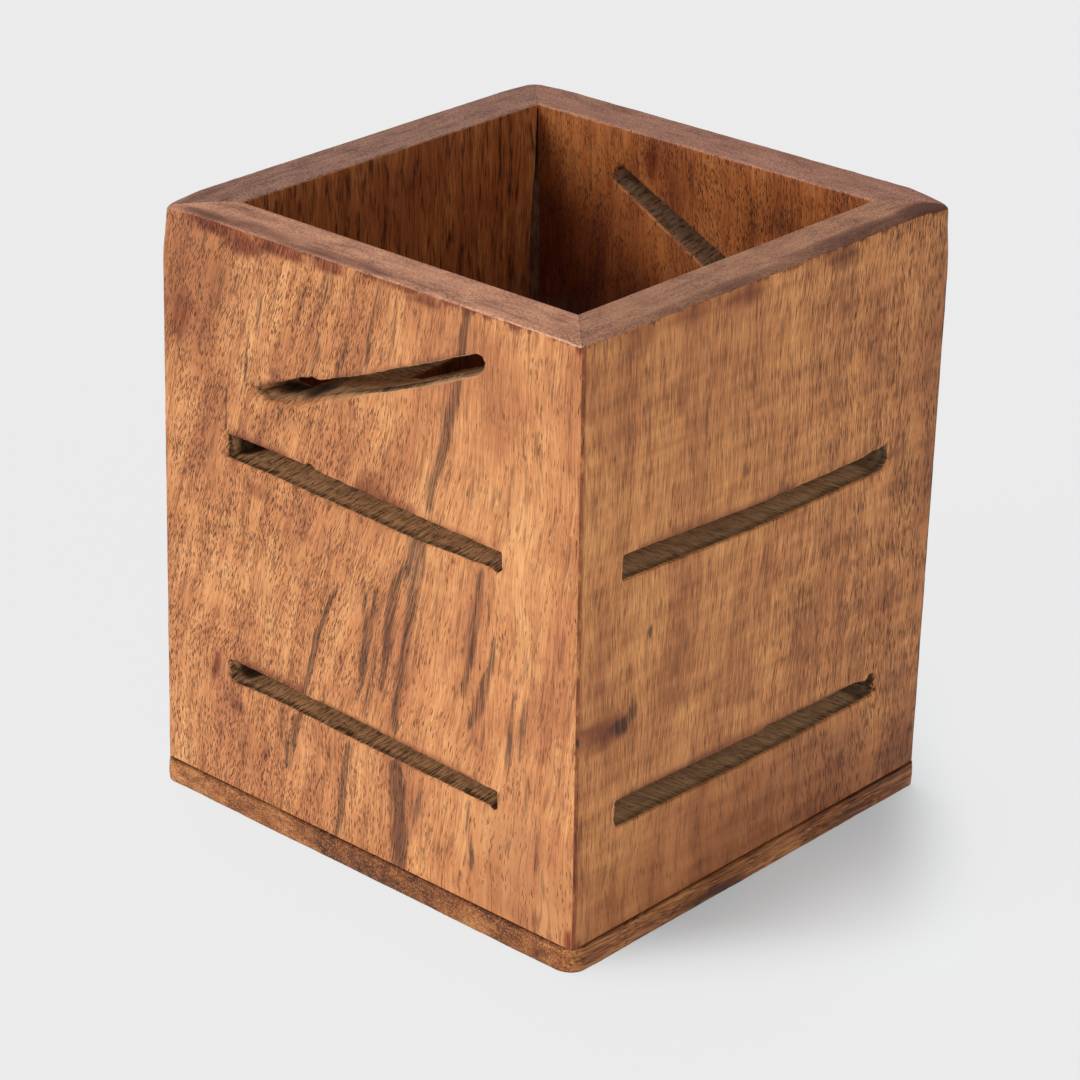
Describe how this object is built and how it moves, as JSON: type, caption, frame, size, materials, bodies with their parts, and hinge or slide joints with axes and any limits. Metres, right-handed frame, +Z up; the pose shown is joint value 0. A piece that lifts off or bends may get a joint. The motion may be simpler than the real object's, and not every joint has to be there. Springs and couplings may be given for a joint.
{
  "type": "pen cup",
  "caption": "Square wooden desk cup for pens, open at the top, with mitred walls on a base board and narrow slots cut through the walls.",
  "frame": {"origin": "middle of the underside of the base board", "axes": "+Z up out of the open mouth, the front wall faces -Y, the right wall faces +X"},
  "size_m": [0.0864, 0.0848, 0.1],
  "materials": {
    "front_wood": "oiled hardwood with vertical grain and dark mineral streaks, satin",
    "right_wood": "oiled hardwood with straight vertical grain and faint cross figure, satin",
    "back_wood": "oiled hardwood with mottled vertical grain, satin",
    "left_wood": "oiled hardwood with straight vertical grain, satin",
    "base_wood": "oiled hardwood, grain along the depth, darker, satin"
  },
  "bodies": {
    "root": {"front_wall": "front_wood", "right_wall": "right_wood", "back_wall": "back_wood", "left_wall": "left_wood", "base_board": "base_wood"}
  },
  "joints": []
}
